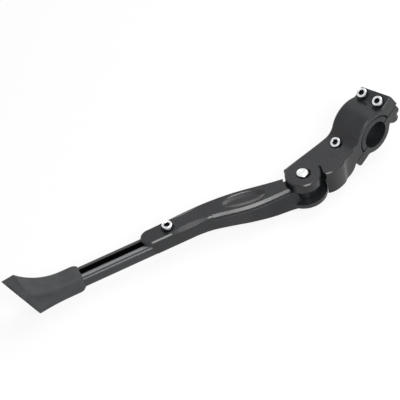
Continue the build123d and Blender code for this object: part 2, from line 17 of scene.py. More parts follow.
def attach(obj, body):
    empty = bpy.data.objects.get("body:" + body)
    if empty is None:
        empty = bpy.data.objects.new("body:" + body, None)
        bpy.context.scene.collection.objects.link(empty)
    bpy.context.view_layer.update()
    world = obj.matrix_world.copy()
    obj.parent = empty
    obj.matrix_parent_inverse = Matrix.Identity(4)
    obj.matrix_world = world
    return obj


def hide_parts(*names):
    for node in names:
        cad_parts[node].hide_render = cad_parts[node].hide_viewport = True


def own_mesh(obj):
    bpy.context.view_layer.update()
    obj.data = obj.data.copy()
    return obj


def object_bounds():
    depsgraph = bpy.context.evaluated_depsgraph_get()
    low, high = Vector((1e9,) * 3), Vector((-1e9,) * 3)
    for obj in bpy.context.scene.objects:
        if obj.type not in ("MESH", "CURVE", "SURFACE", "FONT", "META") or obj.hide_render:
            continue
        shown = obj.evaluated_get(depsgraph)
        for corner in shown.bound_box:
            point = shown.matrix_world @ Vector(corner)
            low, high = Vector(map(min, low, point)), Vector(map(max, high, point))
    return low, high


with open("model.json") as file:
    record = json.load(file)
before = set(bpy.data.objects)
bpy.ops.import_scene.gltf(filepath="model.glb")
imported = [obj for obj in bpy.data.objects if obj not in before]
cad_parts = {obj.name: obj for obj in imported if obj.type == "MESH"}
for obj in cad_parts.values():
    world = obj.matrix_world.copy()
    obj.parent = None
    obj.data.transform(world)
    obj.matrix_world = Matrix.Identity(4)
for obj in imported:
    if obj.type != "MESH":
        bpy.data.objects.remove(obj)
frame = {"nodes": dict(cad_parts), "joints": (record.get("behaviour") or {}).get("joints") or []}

CAD_BOX = [list(corner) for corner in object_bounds()]
MM = 0.001
# Name of the vertex attribute that holds painted shade: screw recesses and the rivet's shadow
# ring.
SHADE_ATTRIBUTE = "painted_shade"
WHITE = (1.0, 1.0, 1.0, 1.0)
LOG = logging.getLogger("kickstand")

# Meshes: metres within which vertices are one, steps of a spun profile, and the angle above
# which an edge stays sharp.
WELD = 1e-7
LATHE_STEPS = 48
SHARP_DEGREES = 35.0

# Finishes: noise values between which the dark tone turns into the light one, share of the
# grain's depth that the bump takes, and rays that soften an edge.
TONE_STOPS = (0.3, 0.7)
BUMP_STRENGTH = 0.6
EDGE_SAMPLES = 6
# Cosines of an edge's turn where the paler edge starts and is full, and its colour's share there;
# the paler edge is partly wear, partly painted highlight.
EDGE_LIGHT_TURN = (0.995, 0.9)
EDGE_LIGHT_SHARE = 0.55
# Upward parts of a normal between which a face comes to count as level.
LEVEL = (0.9, 0.98)


class Body(Enum):
    """The CAD bodies that a piece can ride on."""

    MOUNT = "mount_body"
    LEG = "leg_body"
    ROD = "rod_body"
    PLUNGER = "plunger_body"


def hex_linear(code: str) -> tuple[float, float, float, float]:
    """Turn an sRGB hex colour into linear RGBA.

    Args:
        code: Six hex digits after a hash sign.

    Returns:
        Linear red, green and blue, with an alpha of one.
    """
    parts = [int(code[i:i + 2], 16) / 255 for i in (1, 3, 5)]
    linear = [c / 12.92 if c <= 0.04045 else ((c + 0.055) / 1.055) ** 2.4 for c in parts]
    return (linear[0], linear[1], linear[2], 1.0)


def per_metre(size_mm: float) -> float:
    """Texture scale that gives features of a size in millimetres on Object coordinates."""
    return 1 / (size_mm * MM)


def at(x: float, y: float, z: float) -> Matrix:
    """A shift in millimetres."""
    return Matrix.Translation(Vector((x, y, z)) * MM)


def add_node(tree: bpy.types.NodeTree, kind: str, settings: dict | None = None,
             **links: object) -> bpy.types.Node:
    """Add a node with its settings, input values and links.

    Args:
        tree: The node tree that gets the node.
        kind: Type of the node, without its ShaderNode prefix.
        settings: Properties of the node, and input values under the socket's name or number.
        links: Output sockets to link, under the input's name in lower case with underscores,
            or in_ and a number.

    Returns:
        The new node.
    """
    node = tree.nodes.new("ShaderNode" + kind)
    for key, value in (settings or {}).items():
        if isinstance(key, int) or key in node.inputs:
            node.inputs[key].default_value = value
        else:
            setattr(node, key, value)
    for key, socket in links.items():
        name = int(key[3:]) if key.startswith("in_") else key.replace("_", " ").title()
        tree.links.new(socket, node.inputs[name])
    return node


def ramp_stops(node: bpy.types.Node, stops: list[tuple[float, tuple]]) -> bpy.types.Node:
    """Set the stops of a colour ramp.

    Args:
        node: The colour ramp node.
        stops: Position and linear colour of each stop, two or more.

    Returns:
        The same node.
    """
    ramp = node.color_ramp
    while len(ramp.elements) < len(stops):
        ramp.elements.new(1.0)
    for element, (position, colour) in zip(ramp.elements, stops):
        element.position, element.color = position, colour
    return node


@dataclass(frozen=True)
class Layout:
    """Where the knuckle and the clamp sit, taken from the fold joint and the clamp's tilt."""

    clamp_tilt: float = 28.0

    def pivot(self) -> Vector:
        """The top of the fold pivot, in metres."""
        joint = next(j for j in frame["joints"] if j["name"] == "leg_fold")
        return Vector(joint["pos_m"])

    def knuckle(self) -> Matrix:
        """Frame of the pivot, with +Z up its axis."""
        return Matrix.Translation(self.pivot())

    def clamp(self) -> Matrix:
        """Find the frame of the clamp.

        Returns:
            A turn with X across the split, Y along the tube and Z along the screws.
        """
        pivot = self.pivot()
        heading = Matrix.Rotation(math.atan2(-pivot.y, -pivot.x), 4, "Z")
        return heading @ Matrix.Rotation(-math.radians(self.clamp_tilt), 4, "Y")


LAYOUT = Layout()


@dataclass(frozen=True)
class Finish:
    """What every finish shares: a name, two close tones, and the size of its surface grain."""

    name: str
    dark: str
    light: str
    roughness: float
    tone_mm: float
    grain_mm: float
    grain_depth_mm: float
    stretch: tuple[float, float, float] = (1.0, 1.0, 1.0)
    metallic: float = 0.0
    # Colour of the paler edges, partly wear and partly painted highlight.
    wear_and_highlight: str = ""
    edge_mm: float = 0.3
    gloss: float = 0.5
    roughness_play: float = 0.1

    def build(self) -> bpy.types.Material:
        """Make the material: noisy tone, roughness, grain; soft edges, paler by wear and painted
        highlight.

        Returns:
            The new material.
        """
        material = bpy.data.materials.new(self.name)
        material.use_nodes = True
        tree = material.node_tree
        shader = tree.nodes["Principled BSDF"]
        place = add_node(tree, "TexCoord").outputs["Object"]
        lines = add_node(tree, "Mapping", {"Scale": self.stretch}, vector=place).outputs["Vector"]
        tone = add_node(tree, "TexNoise", {"Scale": per_metre(self.tone_mm), "Detail": 3.0},
                        vector=lines).outputs["Fac"]
        grain = add_node(tree, "TexNoise", {"Scale": per_metre(self.grain_mm), "Detail": 2.0},
                         vector=lines).outputs["Fac"]
        stops = list(zip(TONE_STOPS, (hex_linear(self.dark), hex_linear(self.light))))
        colour = ramp_stops(add_node(tree, "ValToRGB", fac=tone), stops).outputs["Color"]
        edge = add_node(tree, "Bevel", {"samples": EDGE_SAMPLES, "Radius": self.edge_mm * MM})
        # Paler edges: partly wear, partly painted highlight.
        if self.wear_and_highlight:
            colour = self.lighten_edges(tree, edge, colour, tone)
        tree.links.new(self.tint(tree, place, colour), shader.inputs["Base Color"])
        rough = add_node(tree, "MapRange", {"To Min": self.roughness - self.roughness_play,
                                            "To Max": self.roughness + self.roughness_play},
                         value=grain)
        tree.links.new(rough.outputs["Result"], shader.inputs["Roughness"])
        bump = add_node(tree, "Bump", {"Strength": BUMP_STRENGTH,
                                       "Distance": self.grain_depth_mm * MM},
                        height=grain, normal=edge.outputs["Normal"])
        tree.links.new(bump.outputs["Normal"], shader.inputs["Normal"])
        shader.inputs["Metallic"].default_value = self.metallic
        shader.inputs["Specular IOR Level"].default_value = self.gloss
        return material

    def lighten_edges(self, tree: bpy.types.NodeTree, edge: bpy.types.Node, colour: bpy.types.NodeSocket,
             patch: bpy.types.NodeSocket) -> bpy.types.NodeSocket:
        """Lighten the colour where an edge turns, in broken patches: partly wear, partly painted
        highlight.

        Args:
            tree: The material's node tree.
            edge: The bevel node whose normal leaves the face's own normal at an edge.
            colour: The colour away from the edges.
            patch: Noise that breaks the wear up.

        Returns:
            The colour with its worn edges.
        """
        face = add_node(tree, "NewGeometry").outputs["Normal"]
        turn = add_node(tree, "VectorMath", {"operation": "DOT_PRODUCT"},
                        in_0=edge.outputs["Normal"], in_1=face)
        bare = add_node(tree, "MapRange", {"From Min": EDGE_LIGHT_TURN[0], "From Max": EDGE_LIGHT_TURN[1],
                                           "To Max": EDGE_LIGHT_SHARE}, value=turn.outputs["Value"])
        amount = add_node(tree, "Math", {"operation": "MULTIPLY"}, in_0=bare.outputs["Result"],
                          in_1=patch)
        return self.blend(tree, amount.outputs["Value"], colour, self.wear_and_highlight)

    def blend(self, tree: bpy.types.NodeTree, amount: bpy.types.NodeSocket,
              colour: bpy.types.NodeSocket, other: str) -> bpy.types.NodeSocket:
        """Mix a hex colour over another colour by an amount."""
        return add_node(tree, "Mix", {"data_type": "RGBA", 7: hex_linear(other)}, in_0=amount,
                        in_6=colour).outputs[2]

    def tint(self, tree: bpy.types.NodeTree, place: bpy.types.NodeSocket,
             colour: bpy.types.NodeSocket) -> bpy.types.NodeSocket:
        """Leave the colour as it is; a finish with marks of use changes it here."""
        return colour


@dataclass(frozen=True)
class ShadedFinish(Finish):
    """A finish with painted shade, darker where the mesh's shade attribute says so."""

    # Colour of the painted shade.
    shade_colour: str = "#1c1d1f"

    def tint(self, tree: bpy.types.NodeTree, place: bpy.types.NodeSocket,
             colour: bpy.types.NodeSocket) -> bpy.types.NodeSocket:
        """Darken the colour by the attribute that holds the painted shade."""
        painted_shade = add_node(tree, "Attribute", {"attribute_name": SHADE_ATTRIBUTE}).outputs["Fac"]
        return self.blend(tree, painted_shade, colour, self.shade_colour)


@dataclass(frozen=True)
class HighlightAndShadeFinish(Finish):
    """A finish of a slotted bar: a painted highlight on its lips, and painted shade in the slot.
    """

    # Colours of the painted highlight on the lips and of the painted shade in the slot.
    painted_highlight: str = "#8e8f93"
    painted_slot_shade: str = "#0c0c0d"
    below_pivot_mm: float = 9.2
    fade_mm: float = 0.4
    middle_mm: float = 9.9
    lip_inner_mm: float = 2.8
    lip_outer_mm: float = 5.0
    slot_half_mm: float = 4.1
    slot_deep_mm: float = 8.0
    far_share: float = 0.08

    def tint(self, tree: bpy.types.NodeTree, place: bpy.types.NodeSocket,
             colour: bpy.types.NodeSocket) -> bpy.types.NodeSocket:
        """Paint a highlight on the lips' level tops, strong near and faint far, and paint shade
        in the slot.

        Args:
            tree: The material's node tree.
            place: Object coordinates.
            colour: The colour elsewhere.

        Returns:
            The colour with its painted highlight and its painted shade.
        """
        low = LAYOUT.pivot().z - self.below_pivot_mm * MM
        middle = LAYOUT.pivot().y + self.middle_mm * MM
        spot = add_node(tree, "SeparateXYZ", vector=place).outputs
        near = add_node(tree, "MapRange", {"From Min": middle - self.lip_outer_mm * MM,
                                           "From Max": middle - self.lip_inner_mm * MM,
                                           "To Min": 1.0, "To Max": self.far_share},
                        value=spot["Y"])
        high = add_node(tree, "MapRange", {"From Min": low, "From Max": low + self.fade_mm * MM,
                                           "To Min": 0.0},
                        value=spot["Z"], to_max=near.outputs["Result"])
        face = add_node(tree, "NewGeometry").outputs["True Normal"]
        upward = add_node(tree, "SeparateXYZ", vector=face).outputs["Z"]
        flat = add_node(tree, "MapRange", {"From Min": LEVEL[0], "From Max": LEVEL[1]},
                        value=upward)
        # Painted highlight on the level tops of the lips.
        shine = add_node(tree, "Math", {"operation": "MULTIPLY"}, in_0=high.outputs["Result"],
                         in_1=flat.outputs["Result"]).outputs["Value"]
        across = add_node(tree, "Math", {"operation": "COMPARE", 1: middle,
                                         2: self.slot_half_mm * MM}, in_0=spot["Y"])
        half_deep = self.slot_deep_mm / 2 * MM
        down = add_node(tree, "Math", {"operation": "COMPARE", 1: low - half_deep, 2: half_deep},
                        in_0=spot["Z"])
        # Painted shade in the slot, which there also loses its sheen.
        slot_shade = add_node(tree, "Math", {"operation": "MULTIPLY"}, in_0=across.outputs["Value"],
                          in_1=down.outputs["Value"]).outputs["Value"]
        dull = add_node(tree, "MapRange", {"To Min": self.gloss, "To Max": 0.0}, value=slot_shade)
        tree.links.new(dull.outputs["Result"],
                       tree.nodes["Principled BSDF"].inputs["Specular IOR Level"])
        slot_shaded = self.blend(tree, slot_shade, colour, self.painted_slot_shade)
        return self.blend(tree, shine, slot_shaded, self.painted_highlight)


FINISHES = {
    # Satin powder coat on die cast aluminium: an even near-black with a faint orange peel, drawn
    # coarser than the real 0.3 mm so that it shows, and paler at edges, partly wear, partly
    # painted highlight.
    "coat": Finish("powder_coated_cast_aluminium", "#1b1c1e", "#232426", roughness=0.27,
                   tone_mm=14.0, grain_mm=0.9, grain_depth_mm=0.005, wear_and_highlight="#585a5e", edge_mm=0.4,
                   gloss=0.33, roughness_play=0.03),
    # Black anodised aluminium, extruded: dark metal with soft die lines along its length, drawn
    # coarser than the real 0.2 mm so that they show, a painted highlight on its lips, painted
    # shade in its slot.
    "anodised": HighlightAndShadeFinish("black_anodised_aluminium", "#313234", "#3b3c3e", roughness=0.34,
                             tone_mm=3.0, grain_mm=1.6, grain_depth_mm=0.003,
                             stretch=(0.02, 1.0, 1.0), metallic=0.2, gloss=0.25,
                             roughness_play=0.04),
    # Moulded rubber: matt dark grey with the spark-eroded grain of the mould, drawn coarser than
    # the real 0.2 mm so that it shows.
    "foot": Finish("moulded_rubber", "#353638", "#3f4041", roughness=0.72, tone_mm=9.0,
                   grain_mm=0.7, grain_depth_mm=0.05, edge_mm=0.5, gloss=0.3),
    # Smooth black rubber of the clamp's liner, a little more closed than the foot's.
    "liner": Finish("smooth_black_rubber", "#2b2c2e", "#343537", roughness=0.62, tone_mm=8.0,
                    grain_mm=0.6, grain_depth_mm=0.03, gloss=0.25),
    # Bright zinc plate on steel: silver, softly cloudy, with painted shade in recess, knurl and
    # under the head.
    "zinc": ShadedFinish("zinc_plated_steel", "#c4c6c8", "#dcdddf", roughness=0.24, tone_mm=3.0,
                        grain_mm=0.4, grain_depth_mm=0.006, metallic=1.0, edge_mm=0.15,
                        roughness_play=0.06),
    # Headed rivet end of the pin: polished steel, with a painted shadow ring round its foot.
    "pin": ShadedFinish("polished_pin_steel", "#c9cacc", "#e2e3e4", roughness=0.22, tone_mm=4.0,
                       grain_mm=0.5, grain_depth_mm=0.004, metallic=1.0, edge_mm=0.2,
                       roughness_play=0.05, shade_colour="#0c0c0d"),
    # Oiled plain steel of the inner pieces: mid grey and a little dull.
    "plain": Finish("oiled_plain_steel", "#84878b", "#9a9da0", roughness=0.34, tone_mm=3.0,
                    grain_mm=0.5, grain_depth_mm=0.006, metallic=1.0, edge_mm=0.15),
    # Drawn spring wire: grey, with a fine grain.
    "wire": Finish("drawn_spring_wire", "#777a7e", "#8f9296", roughness=0.30, tone_mm=2.0,
                   grain_mm=0.3, grain_depth_mm=0.004, metallic=1.0, edge_mm=0.1),
    # Black oxide on the pressed washer: dark, slightly oily.
    "oxide": Finish("black_oxide_steel", "#2b2b2d", "#37373a", roughness=0.38, tone_mm=2.0,
                    grain_mm=0.5, grain_depth_mm=0.006, metallic=0.6, edge_mm=0.15),
}


def put(bm: bmesh.types.BMesh, name: str, finish: bpy.types.Material, body: Body,
        replaced: list[str]) -> bpy.types.Object:
    """Turn a bmesh into a finished piece that rides on a body and stands for CAD nodes.

    Args:
        bm: The piece's mesh in the CAD frame, in metres; it is freed.
        name: Name of the piece.
        finish: Its material.
        body: The CAD body it rides on.
        replaced: The CAD nodes it stands for.

    Returns:
        The new object.
    """
    bmesh.ops.recalc_face_normals(bm, faces=bm.faces)
    for face in bm.faces:
        face.smooth = True
    for edge in bm.edges:
        edge.smooth = edge.calc_face_angle(0.0) < math.radians(SHARP_DEGREES)
    mesh = bpy.data.meshes.new(name)
    bm.to_mesh(mesh)
    bm.free()
    piece = bpy.data.objects.new(name, mesh)
    bpy.context.scene.collection.objects.link(piece)
    mesh.materials.append(finish)
    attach(piece, body.value)
    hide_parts(*replaced)
    LOG.info("%s: %d faces on %s", name, len(mesh.polygons), body.value)
    return piece


def paint(node: str, material: bpy.types.Material) -> None:
    """Make a material the only one of a CAD node.

    Args:
        node: Name of the node.
        material: The material.
    """
    mesh = frame["nodes"][node].data
    mesh.materials.clear()
    mesh.materials.append(material)
    LOG.info("%s: %s", node, material.name)


def lathe(bm: bmesh.types.BMesh, points: list[tuple[float, float]], closed: bool = False) -> None:
    """Spin a profile round the Z axis.

    Args:
        bm: The bmesh that gets the shape.
        points: Radius and height of each profile point, in millimetres, from top to bottom.
        closed: Whether the last point joins the first, as in a ring.
    """
    verts = [bm.verts.new((r * MM, 0, z * MM)) for r, z in points]
    pairs = list(zip(verts, verts[1:])) + ([(verts[-1], verts[0])] if closed else [])
    edges = [bm.edges.new(pair) for pair in pairs]
    bmesh.ops.spin(bm, geom=verts + edges, cent=(0, 0, 0), axis=(0, 0, 1), angle=math.tau,
                   steps=LATHE_STEPS, use_merge=True)
    bmesh.ops.remove_doubles(bm, verts=bm.verts, dist=WELD)


@dataclass(frozen=True)
class Ring:
    """One ring of a screw's head: radius and height in millimetres, its share of painted shade,
    and its shape.
    """

    radius: float
    height: float
    shadow_film: float = 0.0
    hexed: bool = False
    knurled: bool = False


@dataclass
class SocketScrew:
    """Socket head screw with hexagon recess, knurled head and rolled thread, in millimetres."""

    length: float
    shank_d: float = 5.0
    head_d: float = 8.5
    head_h: float = 4.5
    hex_across: float = 4.0
    hex_depth: float = 2.6
    hex_draft: float = 0.97
    hex_ease: float = 0.35
    hex_flare: float = 1.19
    drill_point: float = 0.7
    core: float = 0.3
    crown: float = 0.75
    rim: float = 0.25
    rim_drop: float = 0.2
    knurl: float = 0.12
    knurl_foot: float = 0.5
    neck: float = 0.3
    grip: float = 4.0
    pitch: float = 0.8
    thread_depth: float = 0.45
    crest_gap: float = 0.02
    crest_span: tuple[float, float] = (0.42, 0.58)
    thread_steps: int = 24
    thread_weld: float = 1e-6
    steps: int = 60

    def rings(self) -> list[Ring]:
        """List the rings of the head.

        Returns:
            The rings, from the floor of the recess to the end of the grip.
        """
        half, shank, recess = self.head_d / 2, self.shank_d / 2, self.hex_across / 2
        top, floor = self.head_h, self.head_h - self.hex_depth
        return [Ring(self.core, floor - self.drill_point, shadow_film=1.0),
                Ring(recess * self.hex_draft, floor, shadow_film=1.0, hexed=True),
                Ring(recess, top - self.hex_ease, shadow_film=0.9, hexed=True),
                Ring(recess * self.hex_flare, top), Ring(half - self.crown, top),
                Ring(half - self.rim, top - self.rim_drop),
                Ring(half, top - self.crown, shadow_film=0.5, knurled=True),
                Ring(half, self.knurl_foot, shadow_film=0.8, knurled=True),
                Ring(half - self.rim, 0.0, shadow_film=0.9), Ring(shank + self.neck, 0.0, shadow_film=0.5),
                Ring(shank, -self.neck), Ring(shank, -self.grip),
                Ring(self.core, -self.grip - self.rim_drop)]

    def head(self, bm: bmesh.types.BMesh) -> list[bmesh.types.BMVert]:
        """Extrude the head ring by ring, from the floor of its recess to its shank.

        Args:
            bm: The bmesh that gets the head.

        Returns:
            The head's vertices.
        """
        painted_shade = bm.verts.layers.float[SHADE_ATTRIBUTE]
        ring = list(bmesh.ops.create_circle(bm, cap_ends=True, segments=self.steps,
                                            radius=1.0)["verts"])
        edges = list(dict.fromkeys(e for v in ring for e in v.link_edges))
        everything = list(ring)
        for number, level in enumerate(self.rings()):
            if number:
                grown = bmesh.ops.extrude_edge_only(bm, edges=edges)["geom"]
                ring = [v for v in grown if isinstance(v, bmesh.types.BMVert)]
                edges = [e for e in grown if isinstance(e, bmesh.types.BMEdge)]
                everything += ring
            ring.sort(key=lambda v: math.atan2(v.co.y, v.co.x))
            for place, vert in enumerate(ring):
                angle = math.atan2(vert.co.y, vert.co.x)
                flat = (angle % (math.pi / 3)) - math.pi / 6
                reach = level.radius / math.cos(flat) if level.hexed else level.radius
                reach -= self.knurl * (place % 2) if level.knurled else 0.0
                vert.co = Vector((math.cos(angle) * reach, math.sin(angle) * reach,
                                  level.height)) * MM
                # Painted shade: darkest in the hex recess, lighter on the knurl, under the head
                # and at the neck.
                vert[painted_shade] = level.shadow_film
        bmesh.ops.contextual_create(bm, geom=edges)
        return everything

    def thread(self, bm: bmesh.types.BMesh) -> list[bmesh.types.BMVert]:
        """Spin one pitch of the thread down the shank.

        Args:
            bm: The bmesh that gets the thread.

        Returns:
            The thread's vertices.
        """
        before = set(bm.verts)
        crest = self.shank_d / 2 - self.crest_gap
        root = self.shank_d / 2 - self.thread_depth
        turns = int((self.length - self.grip) / self.pitch)
        heights = [0.0, *(self.pitch * part for part in self.crest_span), self.pitch]
        profile = zip((root, crest, crest, root), heights)
        verts = [bm.verts.new((r * MM, 0, (z - self.length) * MM)) for r, z in profile]
        edges = [bm.edges.new(pair) for pair in zip(verts, verts[1:])]
        bmesh.ops.spin(bm, geom=verts + edges, cent=(0, 0, 0), axis=(0, 0, 1),
                       angle=math.tau * turns, steps=self.thread_steps * turns,
                       dvec=(0, 0, self.pitch / self.thread_steps * MM))
        made = [v for v in bm.verts if v not in before]
        bmesh.ops.remove_doubles(bm, verts=made, dist=self.thread_weld)
        made = [v for v in bm.verts if v not in before]
        open_edges = dict.fromkeys(e for v in made for e in v.link_edges if e.is_boundary)
        bmesh.ops.holes_fill(bm, edges=list(open_edges))
        return made

    def add(self, bm: bmesh.types.BMesh, place: Matrix) -> None:
        """Add the whole screw, with its seat at the origin of a place."""
        verts = self.head(bm) + self.thread(bm)
        bmesh.ops.transform(bm, matrix=place, verts=[v for v in verts if v.is_valid])


@dataclass
class Assembly:
    """A sub-assembly of the stand, which takes its materials from a shared set."""

    finishes: dict[str, bpy.types.Material]

    def build(self) -> None:
        """Make and dress every piece of the sub-assembly."""
        raise NotImplementedError


@dataclass
class TubeClamp(Assembly):
    """Front and rear half of the clamp on the bracket, its three screws and its rubber liner."""

    bolt_r: float = 20.7
    bolt_t: float = 8.0
    flange_seat: float = 12.9
    arm_bolt: tuple[float, float, float] = (-22.9, 2.0, 13.4)
    screw_length: float = 28.0
    first_turn: float = 0.4
    turn_step: float = 0.9
    tube_r: float = 11.1
    tube_gap: float = 0.05
    liner_r: float = 16.8
    liner_length: float = 28.0
    liner_ease: float = 0.4
    liner_steps: int = 48
    step_l: float = 3.0
    step_t: float = 1.3
    split: float = 1.2

    def screws(self) -> bpy.types.Object:
        """Model the three clamp screws as one piece.

        Returns:
            The new piece.
        """
        bm = bmesh.new()
        bm.verts.layers.float.new(SHADE_ATTRIBUTE)
        seats = [(self.bolt_r, -self.bolt_t, self.flange_seat),
                 (self.bolt_r, self.bolt_t, self.flange_seat), self.arm_bolt]
        for number, seat in enumerate(seats):
            turn = Matrix.Rotation(self.first_turn + number * self.turn_step, 4, "Z")
            SocketScrew(self.screw_length).add(bm, LAYOUT.clamp() @ at(*seat) @ turn)
        return put(bm, "clamp_screw_set", self.finishes["zinc"], Body.MOUNT,
                   ["clamp_screws"])

    def liner(self) -> bpy.types.Object:
        """Model the liner as a half shell whose ends step back from the ring.

        Returns:
            The new piece.
        """
        bm = bmesh.new()
        half, step = self.liner_length / 2, self.liner_length / 2 - self.step_l
        inner, outer = self.tube_r + self.tube_gap, self.liner_r
        neck, ease = self.liner_r - self.step_t, self.liner_ease
        outline = [(inner, -half + ease), (inner + ease, -half), (neck - ease, -half),
                   (neck, -half + ease), (neck, -step), (outer, -step), (outer, step),
                   (neck, step), (neck, half - ease), (neck - ease, half), (inner + ease, half),
                   (inner, half - ease)]
        gap = math.asin(self.split / 2 / inner)
        verts = [bm.verts.new((r * MM, y * MM, 0)) for r, y in outline]
        edges = [bm.edges.new((a, b)) for a, b in zip(verts, verts[1:] + verts[:1])]
        face = bm.faces.new(verts)
        bmesh.ops.rotate(bm, cent=(0, 0, 0), matrix=Matrix.Rotation(-gap, 3, "Y"), verts=verts)
        bmesh.ops.spin(bm, geom=verts + edges + [face], cent=(0, 0, 0), axis=(0, -1, 0),
                       angle=math.pi - 2 * gap, steps=self.liner_steps)
        bmesh.ops.remove_doubles(bm, verts=bm.verts, dist=WELD)
        bmesh.ops.transform(bm, matrix=LAYOUT.clamp(), verts=bm.verts)
        return put(bm, "tube_liner_shell", self.finishes["liner"], Body.MOUNT,
                   ["tube_liner"])

    def build(self) -> None:
        """Make the screws and the liner, and coat the two castings."""
        self.screws()
        self.liner()
        for node in ("bracket", "clamp_cap"):
            paint(node, self.finishes["coat"])


@dataclass
class FoldPivot(Assembly):
    """Headed pin of the fold with its two washers, in millimetres from the knuckle's top."""

    pin_d: float = 8.0
    dome_d: float = 9.6
    dome_h: float = 1.5
    # Radius and drop of the dish, then share of the dome's radius and drop outside it.
    dish: tuple[tuple[float, float], ...] = ((0.0, 0.12), (1.0, 0.1), (1.5, 0.0))
    dome: tuple[tuple[float, float], ...] = ((0.55, 0.04), (0.75, 0.22), (0.9, 0.62), (1.0, 1.15))
    head_d: float = 13.0
    head_t: float = 1.8
    head_top: float = -22.3
    head_ease: float = 0.2
    head_round: float = 0.8
    # Width and height of the thin ring that carries the painted shadow round the dome, how high
    # the shadow reaches, and the shift of its outer part.
    shadow_film_w: float = 1.0
    shadow_film_t: float = 0.06
    shadow_film_climb: float = 0.5
    shadow_film_shift: tuple[float, float, float] = (0.38, -0.62, 0.0)

    def profile(self) -> list[tuple[float, float]]:
        """Draw the pin from its dished dome, over the thin ring of its painted shadow, to its
        flat lower head.

        Returns:
            Radius and height of each point.
        """
        rim, head, shank = self.dome_d / 2, self.head_d / 2, self.pin_d / 2
        shadow_film, foot = rim + self.shadow_film_w, self.head_top - self.head_t
        drops = [*self.dish, *((rim * share, drop) for share, drop in self.dome)]
        dome = [(radius, self.dome_h - drop) for radius, drop in drops]
        return dome + [(rim, self.shadow_film_t), (shadow_film, self.shadow_film_t), (shadow_film, 0.0), (shank, 0.0),
                       (shank, self.head_top), (head - self.head_ease, self.head_top),
                       (head, self.head_top - self.head_ease), (head, foot + self.head_round),
                       (head - self.head_round, foot), (0.0, foot)]

    def pin(self) -> bpy.types.Object:
        """Spin the pin, and shift the outer part of its painted shadow ring to one side.

        Returns:
            The new piece.
        """
        bm = bmesh.new()
        painted_shade = bm.verts.layers.float.new(SHADE_ATTRIBUTE)
        lathe(bm, self.profile())
        # Painted shadow round the foot of the dome, on the thin ring.
        shaded_verts = [v for v in bm.verts if abs(v.co.z) < self.shadow_film_climb * MM]
        for vert in shaded_verts:
            vert[painted_shade] = 1.0
        middle = self.dome_d / 2 + self.shadow_film_w / 2
        spread = [v for v in shaded_verts if v.co.xy.length > middle * MM]
        bmesh.ops.translate(bm, vec=Vector(self.shadow_film_shift) * MM, verts=spread)
        bmesh.ops.transform(bm, matrix=LAYOUT.knuckle(), verts=bm.verts)
        return put(bm, "pivot_rivet", self.finishes["pin"], Body.MOUNT,
                   ["pivot_pin"])

    def build(self) -> None:
        """Make the pin and dress the washers."""
        self.pin()
        for node in ("thrust_washer", "pin_washer"):
            paint(node, self.finishes["plain"])


@dataclass
class Leg(Assembly):
    """Leg casting with the screw that sets the foot rod, in millimetres from the pivot."""

    set_at: float = 109.8
    offset: float = 9.9
    seat: float = -4.8
    screw_length: float = 9.0
    screw_grip: float = 2.0
    washer_d: float = 9.6
    washer_t: float = 1.0
    washer_bore: float = 5.6
    washer_ease: float = 0.1
    washer_round: float = 0.25

    def set_screw(self) -> bpy.types.Object:
        """Model the set screw, which shares its head with the clamp screws.

        Returns:
            The new piece.
        """
        bm = bmesh.new()
        bm.verts.layers.float.new(SHADE_ATTRIBUTE)
        screw = SocketScrew(self.screw_length, grip=self.screw_grip)
        screw.add(bm, LAYOUT.knuckle() @ at(-self.set_at, self.offset, self.seat))
        return put(bm, "rod_set_screw", self.finishes["zinc"], Body.LEG,
                   ["set_screw"])

    def washer(self) -> bpy.types.Object:
        """Spin the pressed washer under the set screw.

        Returns:
            The new piece.
        """
        bm = bmesh.new()
        low, high = self.seat - self.washer_t, self.seat
        outer, bore = self.washer_d / 2, self.washer_bore / 2
        ease, edge = self.washer_ease, self.washer_round
        lathe(bm, [(bore, high - ease), (bore + ease, high), (outer - edge, high),
                   (outer, high - edge), (outer, low + ease), (outer - ease, low),
                   (bore + ease, low), (bore, low + ease)], closed=True)
        place = LAYOUT.knuckle() @ at(-self.set_at, self.offset, 0)
        bmesh.ops.transform(bm, matrix=place, verts=bm.verts)
        return put(bm, "set_screw_washer", self.finishes["oxide"], Body.LEG,
                   ["set_washer"])

    def build(self) -> None:
        """Make the screw and its washer, and dress the leg and the nut."""
        self.set_screw()
        self.washer()
        paint("leg", self.finishes["coat"])
        paint("slide_nut", self.finishes["plain"])


@dataclass
class Latch(Assembly):
    """Sprung plunger inside the leg, in millimetres from the pivot."""

    drop: float = 12.8
    front: float = -27.0
    back: float = -45.9
    mean_d: float = 5.9
    wire_d: float = 0.9
    wire_steps: int = 10
    turns: int = 6
    turn_steps: int = 28
    travel: float = 1.5

    def spring(self) -> bpy.types.Object:
        """Spin a round wire into the compression spring.

        Returns:
            The new piece, with a mesh of its own.
        """
        bm = bmesh.new()
        rise = self.front - self.back - self.wire_d
        steps = self.turn_steps * self.turns
        ring = bmesh.ops.create_circle(bm, cap_ends=True, segments=self.wire_steps,
                                       radius=self.wire_d / 2 * MM)["verts"]
        stand = at(self.mean_d / 2, 0, 0) @ Matrix.Rotation(math.pi / 2, 4, "X")
        bmesh.ops.transform(bm, matrix=stand, verts=ring)
        bmesh.ops.spin(bm, geom=list(bm.verts) + list(bm.edges) + list(bm.faces), cent=(0, 0, 0),
                       axis=(0, 0, 1), angle=math.tau * self.turns, steps=steps,
                       dvec=(0, 0, rise / steps * MM))
        foot = LAYOUT.knuckle() @ at(self.back + self.wire_d / 2, 0, -self.drop)
        bmesh.ops.transform(bm, matrix=foot @ Matrix.Rotation(math.pi / 2, 4, "Y"),
                            verts=bm.verts)
        piece = put(bm, "latch_coil", self.finishes["wire"], Body.LEG,
                    ["latch_spring"])
        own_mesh(piece)
        return piece

    def build(self) -> None:
        """Make the spring and dress the plunger."""
        self.spring()
        paint("latch_plunger", self.finishes["plain"])


